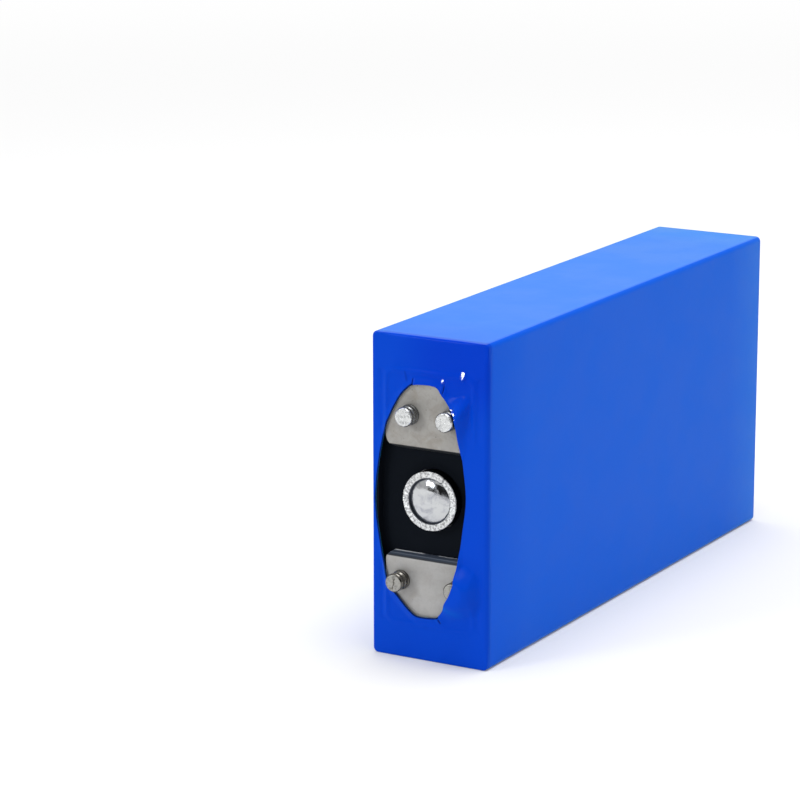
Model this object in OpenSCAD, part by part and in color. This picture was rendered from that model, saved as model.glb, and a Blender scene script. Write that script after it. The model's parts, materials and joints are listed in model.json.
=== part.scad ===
// Prismatic lithium cell, lying on a narrow long face with its terminal end towards -Y.
// Depth values count from the film's front face towards the base of the can.

/* [Can] */
// Thickness of the can across its two large faces
can_t = 27.3; // [26:0.1:40]
// Height of the can as it stands on a narrow long face
can_h = 69.7; // [58:0.1:120]
// Length of the can from its mouth to its base
can_l = 131; // [70:0.5:200]
// Wall of the drawn can
can_wall = 0.8; // [0.4:0.05:1.2]
// Floor of the drawn can
can_floor = 1.2; // [0.6:0.1:3]
// Radius of the four long edges
can_edge_r = 1; // [1:0.1:3]
// Least radius of the can's long edges on the inside
inner_r_min = 0.4; // [0.35:0.05:0.6]
// Radius round the base of the can and round the front of the end cap
can_end_r = 0.8; // [0.6:0.1:1.2]

/* [Shrink film] */
// Thickness of the film
film_t = 0.15; // [0.1:0.01:0.3]
// Width of the window that the film leaves at the terminal end
window_w = 21; // [14:0.5:22]
// Height of that window
window_h = 50; // [44:0.5:54]
// Width of the window's flat top and bottom ends
window_end_w = 8; // [4:0.5:12]
// Sideways shift of the window from the middle
window_shift = -1.9; // [-2:0.1:2]
// Width of the window at the base end
base_window_w = 15; // [10:0.5:18]
// Height of the window at the base end
base_window_h = 52; // [30:0.5:54]
// Gap between the film and a terminal post
film_post_gap = 0.3; // [0.1:0.1:1]

/* [End cap] */
// Width of the cap's rim along the large faces
rim_w = 1.25; // [0.8:0.05:2]
// Depth of the recess from the rim to the cap's floor
recess = 2; // [1.5:0.1:3]
// Thickness of the cap's floor
cap_floor = 1.2; // [0.8:0.1:3]
// Corner radius of the recess
recess_r = 2.2; // [1:0.1:4]
// Gap between a terminal plate's outer end and the recess
recess_end_gap = 0.4; // [0.2:0.1:1]

/* [Terminal plates] */
// Thickness of the formed nickel plates
plate_t = 0.5; // [0.4:0.1:1.2]
// Distance from the middle of the end to the positive plate's inner edge
pos_plate_in = 10.2; // [10:0.05:13]
// Distance from the middle of the end to the negative plate's inner edge
neg_plate_in = 12.1; // [10:0.05:13]
// Distance from the middle of the end to a plate's outer edge
plate_out = 27.5; // [24:0.1:28]
// Gap between a plate's side and the recess
plate_side_gap = 1.75; // [0.5:0.05:2.5]
// Corner radius of the positive plate
pos_plate_r = 3.2; // [0.5:0.1:4]
// Corner radius of the negative plate
neg_plate_r = 1.8; // [0.5:0.1:4]
// Angle by which a plate's inner edge is bent back into the recess
bend_angle = 62; // [45:1:75]
// Radius on the inside of that bend
bend_inner_r = 0.1; // [0.1:0.05:0.4]

/* [Terminal posts] */
// Distance from the middle of the end to both rows of posts
post_row = 18; // [17.5:0.1:20]
// Spacing of the two positive posts
pos_spacing = 9.6; // [8.5:0.1:13]
// Spacing of the two negative posts
neg_spacing = 13.9; // [8.5:0.1:14]
// Radius of a positive post
pos_r = 2.05; // [1.5:0.05:2.7]
// Radius of a negative post
neg_r = 1.95; // [1.5:0.05:2.6]
// How far a positive post stands out of the film's front face
pos_out = 2.9; // [1:0.1:5]
// How far a negative post stands out of the film's front face
neg_out = 3.3; // [1:0.1:5]
// Width of the collar that seats a post on its plate
collar_w = 0.15; // [0.1:0.05:0.4]
// Height of that collar
collar_h = 0.5; // [0.3:0.1:0.8]
// Step from a post down to the shank behind its plate
shank_step = 0.25; // [0.1:0.05:0.4]
// Width by which a post's inner head is wider than its shank
head_over = 1.1; // [0.5:0.1:1.2]
// Thickness of a post's inner head
head_t = 0.8; // [0.4:0.1:1]
// Chamfer on a post's outer end
post_chamfer = 0.25; // [0.1:0.05:0.5]

/* [Seals] */
// Wall of the sleeve that seals a post in the lid
seal_wall = 1.1; // [0.6:0.1:1.2]
// Width of the seal's flange beyond its sleeve
seal_flange_w = 0.6; // [0.3:0.1:0.6]
// Thickness of the seal's flange
seal_flange_t = 0.6; // [0.3:0.1:0.7]

/* [Vent] */
// Outer radius of the vent ring
vent_r = 6.4; // [5.5:0.1:7.6]
// Width of the vent ring's front face
vent_ring_w = 1.2; // [0.8:0.1:1.6]
// How far the vent ring stays behind the rim of the cap, or stands proud of it where less than 0
vent_below_rim = -0.4; // [-0.5:0.1:1]
// Depth from the ring's front face to the ledge that holds the disc
vent_ledge = 1.6; // [1.3:0.1:1.6]
// Width of that ledge
ledge_w = 0.6; // [0.3:0.1:0.8]
// Thickness of the burst disc
disc_t = 0.35; // [0.2:0.05:0.5]
// Rise of the disc's dome above its flange
dome_rise = 0.95; // [0.3:0.05:1]

/* [Lid] */
// Thickness of the lid plate
lid_t = 2; // [1.5:0.1:3]
// Radius of the filling hole
fill_r = 0.9; // [0.5:0.1:1.2]
// Radius of the filling plug's head
fill_head_r = 1.6; // [1.4:0.1:2]
// Thickness of the filling plug's head
fill_head_t = 0.8; // [0.4:0.1:1]

/* [Inside] */
// Thickness of the two insulators under the lid
insulator_t = 1; // [0.6:0.1:2]
// Distance from the middle to an insulator's inner edge
insulator_in = 3; // [2:0.1:3.5]
// Wall of the insulator's stop against the windings
stop_t = 1; // [0.6:0.1:1.2]
// Thickness of the current collectors
collector_t = 1; // [0.6:0.1:1.5]
// Thickness of the collector's tongues
tongue_t = 0.8; // [0.4:0.1:1]
// Distance from the middle to the tabs
tab_in = 4.5; // [4:0.1:5]
// Width of a bundle of foil tabs
tab_w = 9; // [6:0.5:9]
// Thickness of the welded end of a bundle of foil tabs
tab_t = 0.8; // [0.4:0.1:1.2]
// Thickness of one foil tab
foil_t = 0.15; // [0.1:0.05:0.2]
// Free length of one foil tab
foil_l = 2.2; // [1.5:0.1:2.5]
// Gap between a collector and the end of the welded tabs
tab_end_gap = 1; // [0.3:0.1:1.5]
// Distance from the collectors to the windings
tab_run = 6; // [5.5:0.1:10]

/* [Windings] */
// Thickness of the positive electrode strip
pos_strip_t = 0.33; // [0.2:0.01:0.5]
// Thickness of the negative electrode strip
neg_strip_t = 0.25; // [0.2:0.01:0.5]
// Thickness of a separator strip
separator_t = 0.06; // [0.04:0.01:0.1]
// Least gap between two layers
layer_gap_min = 0.02; // [0.01:0.01:0.05]
// Length by which the separators pass the electrodes at each end
separator_over = 1; // [0.3:0.1:1.2]
// Slot left in the middle of a winding
core_slot = 0.8; // [0.4:0.1:2]

/* [Wrapping] */
// Thickness of the tape round both windings
tape_t = 0.1; // [0.05:0.01:0.12]
// Width of a band of tape
tape_w = 18; // [8:1:30]
// Distance from the front of the windings to the first band
tape_inset = 14; // [5:1:25]
// Thickness of the insulation bag
bag_t = 0.2; // [0.1:0.05:0.3]
// Thickness of the spacer at the base
spacer_t = 1.5; // [1:0.1:3]
// Radius of the holes in the spacer
spacer_hole_r = 3; // [1.5:0.1:4]
// Thickness of the insulating patch outside the base
patch_t = 0.25; // [0.15:0.05:0.5]
// Distance from the patch's edge to the side of the can
patch_inset = 2; // [1.5:0.1:3]

/* [Fits] */
// Clearance between two pieces that fit closely
fit = 0.05; // [0.02:0.01:0.1]
// Clearance between pieces that lie loosely together
loose = 0.1; // [0.05:0.01:0.15]

/* [Hidden] */
$fn = 64;

// Up is the positive half of the terminal end, down is the negative half
up = 1;
down = -1;
left = -1;
right = 1;
// Length by which a cut passes the face that it opens
past = 1;

// Depths of the stack at the terminal end, front to back
rim_d = film_t;
pad_d = rim_d + plate_t;
floor_d = rim_d + recess;
lid_d = floor_d + cap_floor;
lid_back = lid_d + lid_t;
insulator_back = lid_back + insulator_t;
collector_back = insulator_back + collector_t;
head_back = collector_back + head_t;
winding_d = collector_back + tab_run;
separator_d = winding_d - separator_over;
foil_d = winding_d - foil_l;
weld_d = foil_d - tab_t;
tab_d = collector_back + tab_end_gap;
tongue_back = weld_d - loose;

// Depths at the base, back to front
can_back = lid_d + can_l;
patch_back = can_back + patch_t;
film_back = patch_back + film_t;
spacer_back = can_back - can_floor;
spacer_d = spacer_back - spacer_t;
separator_back = spacer_d - bag_t - loose;
winding_back = separator_back - separator_over;

// Place of the film's front face, and height of the middle of the end
front_y = -(film_back - max(pos_out, neg_out)) / 2;
mid_z = film_t + can_h / 2;

// Cross sections, each inside the one before
inner_w = can_t - 2 * can_wall;
inner_h = can_h - 2 * can_wall;
inner_r = max(can_edge_r - can_wall, inner_r_min);
bag_w = inner_w - 2 * loose;
bag_h = inner_h - 2 * loose;
bag_inner_w = bag_w - 2 * bag_t;
bag_inner_h = bag_h - 2 * bag_t;
pair_w = bag_inner_w - 2 * (loose + tape_t);
pair_h = bag_inner_h - 2 * (loose + tape_t);
roll_w = pair_w / 2 - fit;
roll_x = (pair_w - roll_w) / 2;

// Windings: as many turns as the room holds, with the layers spread evenly over it
core_r = core_slot / 2;
core_h = pair_h - roll_w;
layers_t = pos_strip_t + neg_strip_t + 2 * separator_t;
turns = floor((roll_w / 2 - core_r) / (layers_t + 4 * layer_gap_min)) - 1;
pitch = (roll_w / 2 - core_r) / (turns + 1);
layer_gap = (pitch - layers_t) / 4;
inner_separator_at = pos_strip_t + layer_gap;
neg_strip_at = inner_separator_at + separator_t + layer_gap;
outer_separator_at = neg_strip_at + neg_strip_t + layer_gap;
turn_step = 15;

// End cap and terminal plates
pocket_w = can_t - 2 * rim_w;
pocket_h = 2 * (plate_out + recess_end_gap);
plate_w = pocket_w - 2 * plate_side_gap;
bend_r = plate_t + bend_inner_r;
bend_drop = bend_r * (1 - cos(bend_angle)) + plate_t * cos(bend_angle);
wall_l = (recess - bend_drop) / sin(bend_angle);
bend_run = bend_r * sin(bend_angle) + wall_l * cos(bend_angle);

// Vent: seat of the disc, sphere of its dome, and the filling hole beside the ring
vent_d = rim_d + vent_below_rim;
seat_r = vent_r - vent_ring_w;
ledge_d = vent_d + vent_ledge;
flange_d = ledge_d - disc_t;
gas_r = seat_r - ledge_w;
dome_r = gas_r - fit;
dome_sphere_r = (dome_r ^ 2 + dome_rise ^ 2) / (2 * dome_rise);
dome_centre = flange_d - dome_rise + dome_sphere_r;
fill_row = (vent_r + pos_plate_in) / 2;

function plate_in(side) = side == up ? pos_plate_in : neg_plate_in;
function plate_r(side) = side == up ? pos_plate_r : neg_plate_r;
function bend_in(side) = plate_in(side) + bend_run;
function post_r(side) = side == up ? pos_r : neg_r;
function post_x(side) = (side == up ? pos_spacing : neg_spacing) / 2;
function post_out(side) = side == up ? pos_out : neg_out;
function collar_r(side) = post_r(side) + collar_w;
function shank_r(side) = post_r(side) - shank_step;
function head_r(side) = shank_r(side) + head_over;
function seal_r(side) = shank_r(side) + fit + seal_wall;
function flange_r(side) = seal_r(side) + seal_flange_w;
function strip_middle(side) = side == up ? pos_strip_t / 2 : neg_strip_at + neg_strip_t / 2;
// Distance from the middle of a winding to one layer of a pole's strip, on the winding's outer side
function layer_x(side, turn) = core_r + pitch * turn + strip_middle(side);
function tongue_x(side) = roll_x + (layer_x(side, 1) + layer_x(side, turns)) / 2;
// Spiral round a flat core: half turns about the core's two ends, joined by straight runs
function spiral(start) = [
    for (half = [0 : 2 * turns], a = [0 : turn_step : half < 2 * turns ? 180 : 0])
        let (angle = 180 * half + a)
            let (r = core_r + start + pitch * angle / 360)
                let (end = half % 2 == 0 ? up : down)
                    [r * cos(angle), r * sin(angle) + end * core_h / 2]
];
function reversed(points) = [for (i = [len(points) - 1 : -1 : 0]) points[i]];
function window_arc_r(w, h) = ((h / 2) ^ 2 + ((w - window_end_w) / 2) ^ 2) / (w - window_end_w);

// Rectangle with round corners
module rounded(w, h, r) {
    square([w - 2 * r, h], center = true);
    square([w, h - 2 * r], center = true);
    for (x = [-1, 1], y = [-1, 1])
        translate([x * (w / 2 - r), y * (h / 2 - r)]) circle(r);
}

// Tall oval of two arcs, cut flat at both ends
module oval_window(w, h) {
    r = window_arc_r(w, h);
    intersection() {
        translate([r - w / 2, 0]) circle(r);
        translate([w / 2 - r, 0]) circle(r);
        square([w, h], center = true);
    }
}

// Slab of an outline seen from the terminal end, between two depths
module slab(from, to) {
    translate([0, front_y + to, mid_z]) rotate([90, 0, 0]) linear_extrude(to - from) children();
}

// Turned piece on an axis along the depth, from a profile of radius and depth
module turned(x = 0, z = 0) {
    translate([x, front_y, mid_z + z]) rotate([-90, 0, 0]) rotate_extrude() children();
}

// Block with round long edges and round end edges, between two depths
module pillow(from, to, w, h, edge_r, end_r) {
    middle_y = front_y + (from + to) / 2;
    intersection() {
        slab(from, to) rounded(w, h, edge_r);
        translate([-w / 2, middle_y, mid_z]) rotate([90, 0, 90])
            linear_extrude(w) rounded(to - from, h, end_r);
        translate([0, middle_y, mid_z - h / 2]) linear_extrude(h) rounded(w, to - from, end_r);
    }
}

// Children at the place of each post, as seen from the terminal end
module at_posts(side) {
    for (x = [left, right])
        translate([x * post_x(side), side * post_row]) children();
}

// Holes for the shanks of all four posts
module shank_holes(from, to, gap) {
    for (side = [up, down])
        slab(from, to) at_posts(side) circle(shank_r(side) + gap);
}

module shrink_film() {
    color("royalblue") difference() {
        pillow(0, film_back, can_t + 2 * film_t, can_h + 2 * film_t, can_edge_r + film_t, can_end_r + film_t);
        pillow(rim_d, patch_back, can_t, can_h, can_edge_r - loose, can_end_r - loose);
        slab(-past, rim_d + past) translate([window_shift, 0]) oval_window(window_w, window_h);
        slab(patch_back - past, film_back + past) oval_window(base_window_w, base_window_h);
        for (side = [up, down])
            slab(-past, rim_d + past) at_posts(side) circle(collar_r(side) + film_post_gap);
    }
}

module base_patch() {
    color("lightgray") slab(can_back, patch_back)
        rounded(can_t - 2 * patch_inset, can_h - 2 * patch_inset, can_edge_r);
}

module end_cap() {
    color([0.06, 0.06, 0.07]) difference() {
        intersection() {
            pillow(rim_d, can_back, can_t, can_h, can_edge_r, can_end_r);
            slab(rim_d, lid_d) square([can_t, can_h], center = true);
        }
        difference() {
            slab(rim_d - past, floor_d) rounded(pocket_w, pocket_h, recess_r);
            for (side = [up, down])
                slab(pad_d, floor_d + past) plate_flat(side);
        }
        slab(rim_d, lid_d + past) circle(vent_r + loose);
        shank_holes(rim_d, lid_d + past, loose);
        for (side = [up, down])
            slab(lid_d - seal_flange_t, lid_d + past) at_posts(side) circle(flange_r(side) + fit);
    }
}

// Outline of the flat part of a terminal plate
module plate_flat(side) {
    flat_h = plate_out - bend_in(side);
    translate([0, side * (plate_out - flat_h / 2)]) square([plate_w, flat_h], center = true);
}

// Section of a terminal plate: a flat face, a bend at its inner edge, and a wall slanting to the cap's floor
module plate_section(side) {
    translate([rim_d, bend_in(side)]) square([plate_t, plate_out - bend_in(side)]);
    translate([rim_d + bend_r, bend_in(side)]) {
        intersection() {
            difference() {
                circle(bend_r);
                circle(bend_inner_r);
            }
            translate([-bend_r, -bend_r]) square(bend_r);
            rotate(bend_angle) translate([-bend_r, 0]) square(bend_r);
        }
        rotate(bend_angle) translate([-bend_r, -wall_l]) square([plate_t, wall_l]);
    }
}

module terminal_plate(side) {
    outline_h = plate_out - plate_in(side);
    mirrored = side == up ? 0 : 1;
    color("silver") difference() {
        intersection() {
            translate([-plate_w / 2, front_y, mid_z]) mirror([0, 0, mirrored])
                rotate([90, 0, 90]) linear_extrude(plate_w) plate_section(side);
            slab(0, lid_d) translate([0, side * (plate_out - outline_h / 2)])
                rounded(plate_w, outline_h, plate_r(side));
        }
        shank_holes(0, lid_d, fit);
    }
}

module terminal_post(side, x) {
    r = post_r(side);
    out = -post_out(side);
    collar_d = rim_d - collar_h;
    color(side == up ? "gainsboro" : "darkgray") turned(x * post_x(side), side * post_row) polygon([
        [0, out], [r - post_chamfer, out], [r, out + post_chamfer], [r, collar_d],
        [collar_r(side), collar_d], [collar_r(side), rim_d], [shank_r(side), rim_d],
        [shank_r(side), collector_back], [head_r(side), collector_back],
        [head_r(side), head_back], [0, head_back]
    ]);
}

module post_seal(side, x) {
    inner = shank_r(side) + fit;
    outer = seal_r(side);
    top = lid_d - seal_flange_t;
    color("white") turned(x * post_x(side), side * post_row) polygon([
        [inner, top], [flange_r(side), top], [flange_r(side), lid_d], [outer, lid_d],
        [outer, lid_back], [inner, lid_back]
    ]);
}

module vent_ring() {
    color("lightgray") turned() polygon([
        [seat_r, vent_d], [vent_r, vent_d], [vent_r, lid_d], [seat_r, lid_d],
        [seat_r, lid_back], [gas_r, lid_back], [gas_r, ledge_d], [seat_r, ledge_d]
    ]);
}

module burst_disc() {
    color("whitesmoke") turned() {
        translate([dome_r, flange_d]) square([ledge_w, disc_t]);
        intersection() {
            translate([0, dome_centre]) difference() {
                circle(dome_sphere_r);
                circle(dome_sphere_r - disc_t);
            }
            translate([0, flange_d - dome_rise]) square([dome_r + fit, dome_rise + disc_t]);
        }
    }
}

module fill_plug() {
    color("silver") turned(0, fill_row) polygon([
        [0, lid_d], [fill_head_r, lid_d], [fill_head_r, lid_d + fill_head_t],
        [fill_r, lid_d + fill_head_t], [fill_r, lid_back], [0, lid_back]
    ]);
}

module lid_plate() {
    color("gainsboro") difference() {
        slab(lid_d, lid_back) rounded(inner_w - 2 * fit, inner_h - 2 * fit, inner_r);
        slab(lid_d - past, lid_back + past) circle(seat_r + fit);
        for (side = [up, down])
            slab(lid_d - past, lid_back + past) at_posts(side) circle(seal_r(side) + fit);
        slab(lid_d - past, lid_back + past) translate([0, fill_row]) circle(fill_r + fit);
        slab(lid_d - past, lid_d + fill_head_t) translate([0, fill_row]) circle(fill_head_r + fit);
    }
}

module can() {
    color("gainsboro") difference() {
        intersection() {
            pillow(rim_d, can_back, can_t, can_h, can_edge_r, can_end_r);
            slab(lid_d, can_back) square([can_t, can_h], center = true);
        }
        slab(lid_d - past, spacer_back) rounded(inner_w, inner_h, inner_r);
    }
}

module inner_insulator(side) {
    outer = bag_inner_h / 2 - loose;
    width = bag_inner_w - 2 * loose;
    color("ivory") difference() {
        union() {
            slab(lid_back, insulator_back) translate([0, side * (insulator_in + outer) / 2])
                square([width, outer - insulator_in], center = true);
            slab(insulator_back, separator_d - loose) translate([0, side * (outer - stop_t / 2)])
                square([width - 2 * inner_r, stop_t], center = true);
        }
        shank_holes(lid_back - past, insulator_back + past, loose);
    }
}

module collector(side) {
    far = post_row + head_r(side) + seal_wall;
    width = 2 * (tongue_x(side) + tongue_t);
    color(side == up ? "gainsboro" : "peru") difference() {
        union() {
            slab(insulator_back, collector_back)
                translate([0, side * (tab_in + far) / 2]) square([width, far - tab_in], center = true);
            for (x = [left, right])
                slab(collector_back, tongue_back)
                    translate([x * tongue_x(side), side * (tab_in + tab_w / 2)])
                        square([tongue_t, tab_w], center = true);
        }
        shank_holes(insulator_back - past, collector_back + past, fit);
    }
}

// Foil tabs that rise from each layer of a strip, welded together against the collector's tongue
module foil_tabs(side, x) {
    weld_x = tongue_x(side) - (tongue_t + tab_t) / 2;
    weld_w = layer_x(side, turns) - layer_x(side, 1) + foil_t;
    color(side == up ? "silver" : "chocolate") translate([0, 0, side * (tab_in + tab_w / 2)]) {
        slab(tab_d, foil_d) translate([x * weld_x, 0]) square([tab_t, tab_w], center = true);
        slab(weld_d, foil_d) translate([x * tongue_x(side), 0]) square([weld_w, tab_w], center = true);
        for (turn = [1 : turns])
            slab(foil_d, winding_d)
                translate([x * (roll_x + layer_x(side, turn)), 0]) square([foil_t, tab_w], center = true);
    }
}

// One strip of a winding, wound round the core from its own place in the pack of layers
module wound_strip(x, start, t, from, to) {
    slab(from, to) translate([x * roll_x, 0]) mirror([x == left ? 1 : 0, 0])
        polygon(concat(spiral(start), reversed(spiral(start + t))));
}

module positive_electrode(x) {
    color("dimgray") wound_strip(x, 0, pos_strip_t, winding_d, winding_back);
}

module negative_electrode(x) {
    color("darkslategray") wound_strip(x, neg_strip_at, neg_strip_t, winding_d, winding_back);
}

module separator(x, start) {
    color("whitesmoke") wound_strip(x, start, separator_t, separator_d, separator_back);
}

module binding_tape(from) {
    color("mediumseagreen") slab(from, from + tape_w) difference() {
        rounded(pair_w + 2 * tape_t, pair_h + 2 * tape_t, roll_w / 2);
        rounded(pair_w, pair_h, roll_w / 2);
    }
}

module insulation_bag() {
    color("aliceblue") difference() {
        slab(collector_back, spacer_d) rounded(bag_w, bag_h, inner_r);
        slab(collector_back - past, spacer_d - bag_t) rounded(bag_inner_w, bag_inner_h, inner_r - bag_t);
    }
}

module bottom_spacer() {
    color("white") slab(spacer_d, spacer_back) difference() {
        rounded(bag_w, bag_h, inner_r);
        for (x = [left, right], side = [up, 0, down])
            translate([x * roll_x, side * post_row]) circle(spacer_hole_r);
    }
}

shrink_film();
base_patch();
end_cap();
can();
lid_plate();
vent_ring();
burst_disc();
fill_plug();
terminal_plate(up);  // positive_terminal_plate
terminal_plate(down);  // negative_terminal_plate
terminal_post(up, left);  // positive_post_left
terminal_post(up, right);  // positive_post_right
terminal_post(down, left);  // negative_post_left
terminal_post(down, right);  // negative_post_right
post_seal(up, left);  // positive_seal_left
post_seal(up, right);  // positive_seal_right
post_seal(down, left);  // negative_seal_left
post_seal(down, right);  // negative_seal_right
inner_insulator(up);  // positive_inner_insulator
inner_insulator(down);  // negative_inner_insulator
collector(up);  // positive_collector
collector(down);  // negative_collector
foil_tabs(up, left);  // positive_tabs_left
foil_tabs(up, right);  // positive_tabs_right
foil_tabs(down, left);  // negative_tabs_left
foil_tabs(down, right);  // negative_tabs_right
positive_electrode(left);  // positive_electrode_left
positive_electrode(right);  // positive_electrode_right
negative_electrode(left);  // negative_electrode_left
negative_electrode(right);  // negative_electrode_right
separator(left, inner_separator_at);  // inner_separator_left
separator(right, inner_separator_at);  // inner_separator_right
separator(left, outer_separator_at);  // outer_separator_left
separator(right, outer_separator_at);  // outer_separator_right
binding_tape(winding_d + tape_inset);  // binding_tape_front
binding_tape(winding_back - tape_inset - tape_w);  // binding_tape_rear
insulation_bag();
bottom_spacer();
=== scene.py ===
import json
import math

import bmesh
import bpy
import numpy as np
from mathutils import Matrix, Vector, noise


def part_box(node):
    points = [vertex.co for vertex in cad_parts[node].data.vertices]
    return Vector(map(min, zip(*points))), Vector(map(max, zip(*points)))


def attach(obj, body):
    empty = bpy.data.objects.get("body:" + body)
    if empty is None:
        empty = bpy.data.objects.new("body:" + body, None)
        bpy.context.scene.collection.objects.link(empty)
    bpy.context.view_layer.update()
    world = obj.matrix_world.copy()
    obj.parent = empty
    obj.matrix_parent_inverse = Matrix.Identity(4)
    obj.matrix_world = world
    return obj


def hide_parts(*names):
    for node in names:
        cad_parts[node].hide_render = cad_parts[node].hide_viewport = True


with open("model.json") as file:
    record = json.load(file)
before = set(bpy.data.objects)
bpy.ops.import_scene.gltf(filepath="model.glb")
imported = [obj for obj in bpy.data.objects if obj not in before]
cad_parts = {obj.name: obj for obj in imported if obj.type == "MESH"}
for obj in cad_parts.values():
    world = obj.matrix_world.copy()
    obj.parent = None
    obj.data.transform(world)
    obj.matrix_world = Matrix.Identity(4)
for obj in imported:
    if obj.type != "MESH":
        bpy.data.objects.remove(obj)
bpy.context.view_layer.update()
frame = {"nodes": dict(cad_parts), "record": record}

# Places on the terminal end: millimetres across and up from its middle, and behind the film's front face
MM = 0.001
film_low, film_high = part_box("shrink_film")
FRONT = film_low.y
MIDDLE = (film_low + film_high) / 2
FILM_W, FILM_L, FILM_H = (film_high - film_low) / MM


def spot(across, up, depth):
    """Point in metres for a place on the terminal end."""
    return Vector((MIDDLE.x + across * MM, FRONT + depth * MM, MIDDLE.z + up * MM))


def depths(node):
    """Front and back depth of a CAD node, in millimetres behind the film's front face."""
    low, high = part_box(node)
    return (low.y - FRONT) / MM, (high.y - FRONT) / MM


def centre_of(node):
    """Place of a CAD node's middle on the terminal end, in millimetres across and up."""
    low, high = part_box(node)
    middle = ((low + high) / 2 - MIDDLE) / MM
    return middle.x, middle.z


def radius_of(node):
    """Outer radius of a round CAD node, in millimetres."""
    low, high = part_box(node)
    return (high.x - low.x) / (2 * MM)


def behind(depth):
    """Place along the cell in metres, for a depth in millimetres behind the film's front face."""
    return FRONT + depth * MM


def smooth(share):
    """Soft step from 0 to 1."""
    share = np.clip(share, 0, 1)
    return share * share * (3 - 2 * share)


def grain(x, y, z, size):
    """Seeded noise from -1 to 1 at a place in millimetres, with waves of about that size."""
    return noise.noise(Vector((x / size, y / size, z / size)))


def bell(off, width):
    """Bell curve that is 1 at no distance and fades over about the given width."""
    return np.exp(-(off / width) ** 2)


def along_segment(x, z, start, end):
    """Share of the way along a segment that lies nearest to a place, and the distance to it."""
    (x0, z0), (x1, z1) = start, end
    share = ((x - x0) * (x1 - x0) + (z - z0) * (z1 - z0)) / ((x1 - x0) ** 2 + (z1 - z0) ** 2)
    share = np.clip(share, 0, 1)
    return share, np.hypot(x - x0 - share * (x1 - x0), z - z0 - share * (z1 - z0))


def closed_curve(points, steps):
    """Points along a smooth closed curve through the given ones."""
    here = np.array(points)
    before, after, beyond = (np.roll(here, shift, 0) for shift in (1, -1, -2))
    parts = []
    for t in np.arange(steps) / steps:
        slope = (after - before) * t
        bow = (2 * before - 5 * here + 4 * after - beyond) * t ** 2
        twist = (3 * here - before - 3 * after + beyond) * t ** 3
        parts.append(here + (slope + bow + twist) / 2)
    return np.stack(parts, 1).reshape(-1, here.shape[1])


# Vent: the ring, the ledge inside it, and the domed disc that lies on the ledge
RING_FRONT, LID_BACK = depths("vent_ring")
LID_T = 2.0
LID_FRONT = LID_BACK - LID_T
RING_R = radius_of("vent_ring")
RING_W = 1.45
SEAT_R = RING_R - RING_W
LEDGE_W = 0.6
LEDGE_DROP = 1.0
LEDGE_DEPTH = RING_FRONT + LEDGE_DROP
DISC_T = 0.35
DISC_FRONT = LEDGE_DEPTH - DISC_T

# Camera at the photograph's viewing angle
CAMERA_PLACE = Vector((0.327794, FRONT - 0.574493, 0.217590))
CAMERA_AZIMUTH = 30.241
CAMERA_ELEVATION = 13.67
CAMERA_ROLL = -0.085
CAMERA_LENS = 148.24
CAMERA_SENSOR = 36
CAMERA_REACH = 100


def make_camera():
    view = bpy.data.cameras.new("photo_view")
    view.lens = CAMERA_LENS
    view.sensor_width = CAMERA_SENSOR
    view.clip_end = CAMERA_REACH
    camera = bpy.data.objects.new("photo_view", view)
    turn = Matrix.Rotation(math.radians(CAMERA_AZIMUTH), 4, "Z")
    turn = turn @ Matrix.Rotation(math.radians(90 - CAMERA_ELEVATION), 4, "X")
    turn = turn @ Matrix.Rotation(math.radians(CAMERA_ROLL), 4, "Z")
    camera.matrix_world = Matrix.Translation(CAMERA_PLACE) @ turn
    bpy.context.scene.collection.objects.link(camera)
    bpy.context.scene.camera = camera


# Shader nodes


def add(tree, kind, inputs=None, **settings):
    """A shader node of that kind, with its settings, and its inputs set or linked."""
    made = tree.nodes.new("ShaderNode" + kind)
    for name, value in settings.items():
        setattr(made, name, value)
    for socket, value in (inputs or {}).items():
        if isinstance(value, bpy.types.NodeSocket):
            tree.links.new(value, made.inputs[socket])
        else:
            made.inputs[socket].default_value = value
    return made


def new_group(name, inputs, outputs):
    """An empty shader group with float inputs and their start values, and float outputs."""
    tree = bpy.data.node_groups.new(name, "ShaderNodeTree")
    for label, value in inputs.items():
        socket = tree.interface.new_socket(label, in_out="INPUT", socket_type="NodeSocketFloat")
        socket.default_value = value
    for label in outputs:
        tree.interface.new_socket(label, in_out="OUTPUT", socket_type="NodeSocketFloat")
    start = tree.nodes.new("NodeGroupInput")
    end = tree.nodes.new("NodeGroupOutput")
    return tree, start.outputs, end.inputs


def object_place(tree):
    return add(tree, "TexCoord").outputs["Object"]


def ranged(tree, value, low, high, to_low=0.0, to_high=1.0):
    """Value moved softly from one range to another, and kept inside it."""
    inputs = {"Value": value, "From Min": low, "From Max": high, "To Min": to_low, "To Max": to_high}
    return add(tree, "MapRange", inputs, interpolation_type="SMOOTHSTEP").outputs["Result"]


def reckon(tree, operation, first, second=0.0):
    return add(tree, "Math", {0: first, 1: second}, operation=operation).outputs["Value"]


def times(tree, first, second):
    return reckon(tree, "MULTIPLY", first, second)


def strongest(tree, masks):
    """One mask that is at each place as strong as the strongest of several."""
    joined = masks[0]
    for mask in masks[1:]:
        joined = reckon(tree, "MAXIMUM", joined, mask)
    return joined


def axes(tree, place):
    """Outputs X, Y and Z of a place."""
    return add(tree, "SeparateXYZ", {"Vector": place}).outputs


def blend_colour(tree, share, first, second):
    inputs = {0: share, 6: first, 7: second}
    return add(tree, "Mix", inputs, data_type="RGBA").outputs[2]


def blend_value(tree, share, first, second):
    inputs = {0: share, 2: first, 3: second}
    return add(tree, "Mix", inputs, data_type="FLOAT").outputs[0]


def uneven(tree, noise_value, low, high):
    """Value that wanders from low to high with a surface's grain."""
    return ranged(tree, noise_value, 0.3, 0.7, low, high)


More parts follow.
